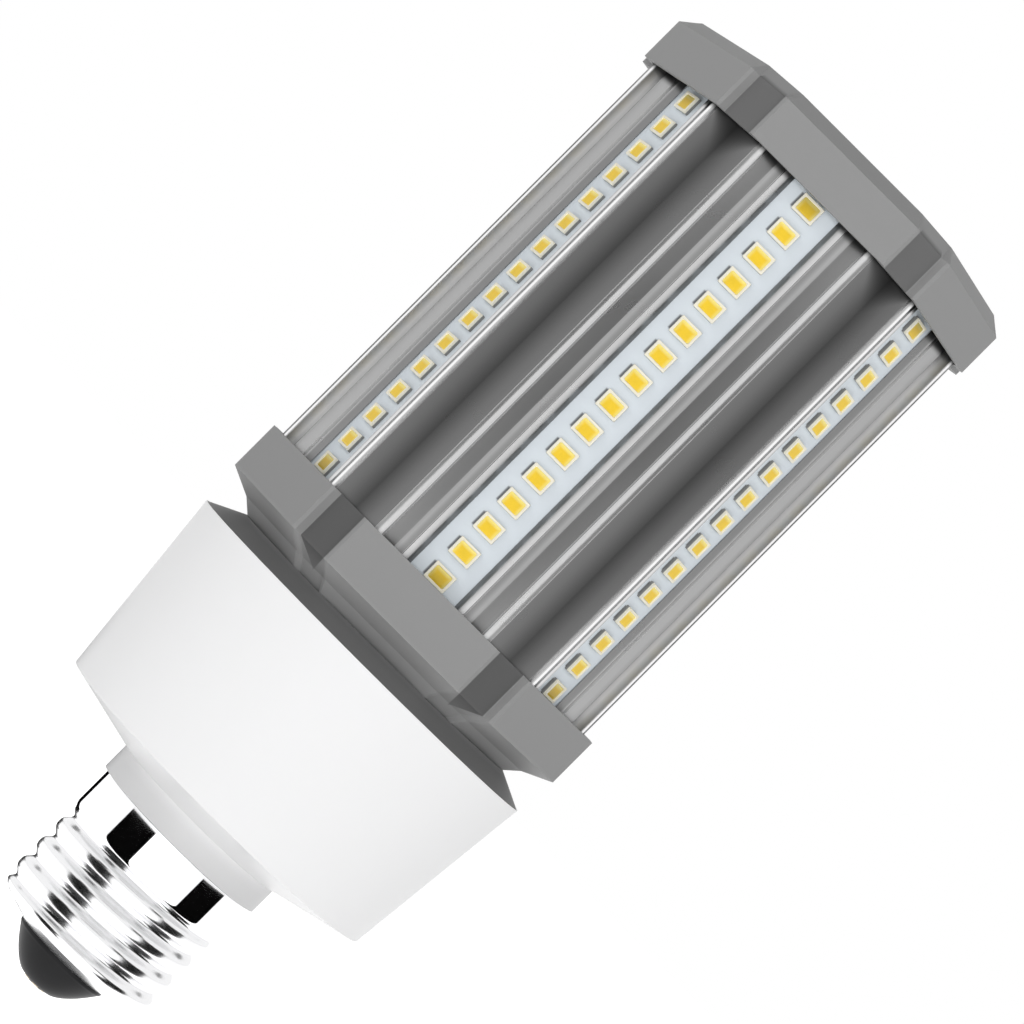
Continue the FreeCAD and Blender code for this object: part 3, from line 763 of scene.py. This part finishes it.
# hidden pieces
innerLooks = {
    "laminate": ({"tone": (0.03, 0.15, 0.07), "rough": 0.4}, ["link_board", "driver_board"]),
    "ferrite": ({"tone": (0.03, 0.03, 0.033), "rough": 0.6, "bump": 0.4}, ["transformer_core"]),
    "windingTape": ({"tone": (0.72, 0.48, 0.06), "rough": 0.3}, ["transformer_winding"]),
    "canSleeve": ({"tone": (0.02, 0.03, 0.06), "rough": 0.3}, ["mains_capacitor", "output_capacitor"]),
    "filmBox": ({"tone": (0.60, 0.42, 0.05), "rough": 0.4}, ["film_capacitor"]),
    "chokeWire": ({"tone": (0.45, 0.16, 0.06), "rough": 0.3}, ["filter_choke"]),
    "chipBody": ({"tone": (0.02, 0.02, 0.022), "rough": 0.5, "bump": 0.3},
                 ["bridge_rectifier", "switching_transistor", "control_chip"]),
    "varistorDip": ({"tone": (0.02, 0.07, 0.24), "rough": 0.35}, ["varistor"]),
    "fuseLacquer": ({"tone": (0.10, 0.20, 0.12), "rough": 0.3}, ["fuse_resistor"]),
    "redSleeve": ({"tone": (0.50, 0.02, 0.02), "rough": 0.35}, ["live_lead", "led_lead_positive"]),
    "blackSleeve": ({"tone": (0.015, 0.015, 0.015), "rough": 0.35}, ["neutral_lead", "led_lead_negative"]),
}
for name, (look, owners) in innerLooks.items():
    dress(owners, mouldedPlastic(name, look))

# countersunk screws in the top, each with a cross recess
screwLook = {
    "tone": (0.55, 0.55, 0.56), "rough": 0.3, "count": 3, "ring": 16.5 * mm, "turn": math.radians(30),
    "top": 126.4 * mm, "headRadius": 2.7 * mm, "headDepth": 1.5 * mm, "edge": 0.12 * mm,
    "shankRadius": 1.25 * mm, "shankEnd": -13.2 * mm, "armHalf": 0.34 * mm, "armLong": 1.55 * mm,
    "crossDepth": 1.0 * mm, "crossTaper": 0.7, "folds": (-45, -36, -26, 0, 26, 36),  # degrees, per quarter
}


# distance from the screw's axis to the cross's edge, at an angle from the middle of an arm
def crossEdge(look, fold):
    folded = math.radians(fold)
    if abs(math.tan(folded)) <= look["armHalf"] / look["armLong"]:
        return look["armLong"] / math.cos(folded)
    return look["armHalf"] / abs(math.sin(folded))


def makeUpperScrews(metal):
    look = screwLook
    corner = math.degrees(math.atan(look["armHalf"] / look["armLong"]))
    folds = sorted(list(look["folds"]) + [-corner, corner])
    turns = [math.radians(quarter * 90 + fold) for quarter in range(4) for fold in folds]
    cross = [crossEdge(look, fold) for fold in folds] * 4
    bottom = [edge * look["crossTaper"] for edge in cross]
    head, edge, around = look["headRadius"], look["edge"], len(turns)
    rings = [([look["shankRadius"]] * around, look["shankEnd"]),
             ([look["shankRadius"]] * around, -look["headDepth"]),
             ([head - edge / 2] * around, -edge), ([head - edge] * around, 0.0),
             (cross, 0.0), (bottom, -look["crossDepth"])]
    vertices = []
    for radii, z in rings:
        for radius, turn in zip(radii, turns):
            vertices.append((radius * math.cos(turn), radius * math.sin(turn), z))
    host = newPiece("screwOne", vertices, [], ringFaces(len(rings), around))
    screws = bakeTree("upperScrews", host, rowTree, {
        "Count": 1, "First": look["top"], "Seat": look["ring"], "Faces": look["count"],
        "Turn": look["turn"], "Material": metal})
    finishPiece(screws, "screw_steel", "upper_cap_screws")


screwMetal = drawnMetal("screwPlate", screwLook)
dress(["lower_cap_screws"], screwMetal)
makeUpperScrews(screwMetal)
print("screws and hidden pieces dressed")

# camera: a little below the bulb's middle, rolled so that the base points to the lower left
cameraLook = {
    "at": (0.62 * mm, -616 * mm, 52.0 * mm), "middle": (0.62 * mm, 0.0, 62.35 * mm), "lens": 161.6,
    "sensor": 36.0, "roll": math.radians(45), "nearest": 10 * mm,
}
lens = bpy.data.cameras.new("camera")
lens.lens = cameraLook["lens"]
lens.sensor_width = cameraLook["sensor"]
lens.clip_start = cameraLook["nearest"]
camera = bpy.data.objects.new("camera", lens)
scene.collection.objects.link(camera)
aim = Vector(cameraLook["at"]) - Vector(cameraLook["middle"])
upright = aim.to_track_quat("Z", "Y").to_matrix().to_4x4()
rolled = upright @ Matrix.Rotation(cameraLook["roll"], 4, "Z")
camera.matrix_world = Matrix.Translation(cameraLook["at"]) @ rolled
scene.camera = camera

# white room: the world lights softly and shows white, and so does the floor
roomLook = {
    "ambient": 0.13, "floorHalf": 4.0, "floorDrop": -87 * mm, "floorTone": 0.8, "floorMottle": 0.98,
    "floorGrain": 30.0, "floorRough": 0.9, "floorLift": 0.96, "floorGlow": 0.32,  # seen, lighting
}


# 1 for what the camera sees, also in metal and through glass
def raysSeen(tree):
    rays = tree.nodes.new("ShaderNodeLightPath").outputs
    mirrored = calc(tree, "MAXIMUM", rays["Is Glossy Ray"], rays["Is Transmission Ray"])
    return calc(tree, "MAXIMUM", rays["Is Camera Ray"], mirrored)


world = bpy.data.worlds.new("room")
scene.world = world
world.use_nodes = True
tree = world.node_tree
tree.nodes.clear()
strength = spread(tree, raysSeen(tree), 0.0, 1.0, roomLook["ambient"], 1.0, False)
background = addNode(tree, "ShaderNodeBackground", {"Color": grey(1.0), "Strength": strength})
output = tree.nodes.new("ShaderNodeOutputWorld")
tree.links.new(background.outputs[0], output.inputs[0])


# paint or cloth without gloss, mottled between two greys, with a light of its own
def dullPaint(name, grain, first, second, rough):
    material, tree, shader, place = startMaterial(name)
    mottled = blendColour(tree, noiseValue(tree, place, grain), grey(first), grey(second))
    feed(tree, shader.inputs["Base Color"], mottled)
    shader.inputs["Roughness"].default_value = rough
    shader.inputs["Specular IOR Level"].default_value = 0.0
    shader.inputs["Emission Color"].default_value = grey(1.0)
    return material, shader


half, drop, tint = roomLook["floorHalf"], roomLook["floorDrop"], roomLook["floorTone"]
corners = [(-half, -half, drop), (half, -half, drop), (half, half, drop), (-half, half, drop)]
floor = newPiece("floor", corners, [], [(0, 1, 2, 3)])
material, shader = dullPaint(
    "floorPaint", roomLook["floorGrain"], tint, tint * roomLook["floorMottle"], roomLook["floorRough"])
tree = material.node_tree
glow = spread(tree, raysSeen(tree), 0.0, 1.0, roomLook["floorGlow"], roomLook["floorLift"], False)
feed(tree, shader.inputs["Emission Strength"], glow)
floor.data.materials.append(material)

# soft lamps, hidden from reflections; places and sizes in mm
lampAim = Vector((0, 0, 60)) * mm
lampLooks = {
    "front": {"at": (120, -1100, 100), "wide": 700, "tall": 300, "power": 4.9},
    "low": {"at": (60, -950, -420), "wide": 700, "tall": 300, "power": 2.1},
    "back": {"at": (0, 900, 600), "wide": 900, "tall": 400, "power": 5.5},
    "left": {"at": (-500, -250, 300), "wide": 400, "tall": 250, "power": 0.85},
    "right": {"at": (500, -220, 300), "wide": 400, "tall": 250, "power": 0.70},
}
for name, look in lampLooks.items():
    lamp = bpy.data.lights.new(name, "AREA")
    lamp.energy = look["power"]
    lamp.shape = "RECTANGLE"
    lamp.size = look["wide"] * mm
    lamp.size_y = look["tall"] * mm
    holder = bpy.data.objects.new(name, lamp)
    scene.collection.objects.link(holder)
    spot = Vector(look["at"]) * mm
    turned = (lampAim - spot).to_track_quat("-Z", "Y").to_matrix().to_4x4()
    holder.matrix_world = Matrix.Translation(spot) @ turned
    holder.visible_glossy = False
    holder.visible_camera = False

# flags that only reflections see: dark ones round the screw base, dark and grey ones round the heat sink
# from, to: degrees round the axis from the front; low, high and away from the axis: mm
flagCloth = {"grain": 50.0, "tones": (0.002, 0.004), "rough": 1.0, "steps": 12}
flagLooks = {
    "leftFlag": {"from": -56, "to": -19.5, "low": -80, "high": -3.4, "away": 45, "level": 0.0},
    "rightFlag": {"from": 47, "to": 82, "low": -80, "high": -3.4, "away": 45, "level": 0.0},
    "backFlag": {"from": -177, "to": -146, "low": -80, "high": 0, "away": 200, "level": 0.0},
    "frontFlag": {"from": -21, "to": 21, "low": 37, "high": 129, "away": 80, "level": 0.64},
    "leftLipFlag": {"from": -148, "to": -128, "low": 44, "high": 128, "away": 120, "level": 0.15},
    "rightLipFlag": {"from": 128, "to": 148, "low": 44, "high": 128, "away": 120, "level": 0.15},
    "leftTroughFlag": {"from": -53, "to": -35, "low": 42, "high": 154, "away": 300, "level": 0.0},
    "rightTroughFlag": {"from": 35, "to": 53, "low": 42, "high": 154, "away": 300, "level": 0.0},
}


def makeFlag(name, look):
    material, shader = dullPaint(
        name + "Cloth", flagCloth["grain"], *flagCloth["tones"], flagCloth["rough"])
    shader.inputs["Emission Strength"].default_value = look["level"]
    steps, away = flagCloth["steps"], look["away"] * mm
    vertices = []
    for i in range(steps + 1):
        angle = math.radians(look["from"] + (look["to"] - look["from"]) * i / steps)
        for z in (look["low"], look["high"]):
            vertices.append((away * math.sin(angle), -away * math.cos(angle), z * mm))
    flag = newPiece(name, vertices, [], [(i * 2, i * 2 + 2, i * 2 + 3, i * 2 + 1) for i in range(steps)])
    flag.data.materials.append(material)
    flag.visible_camera = False
    flag.visible_diffuse = False
    flag.visible_shadow = False
    flag.visible_transmission = False


for name, look in flagLooks.items():
    makeFlag(name, look)
print("camera, room and lamps set")
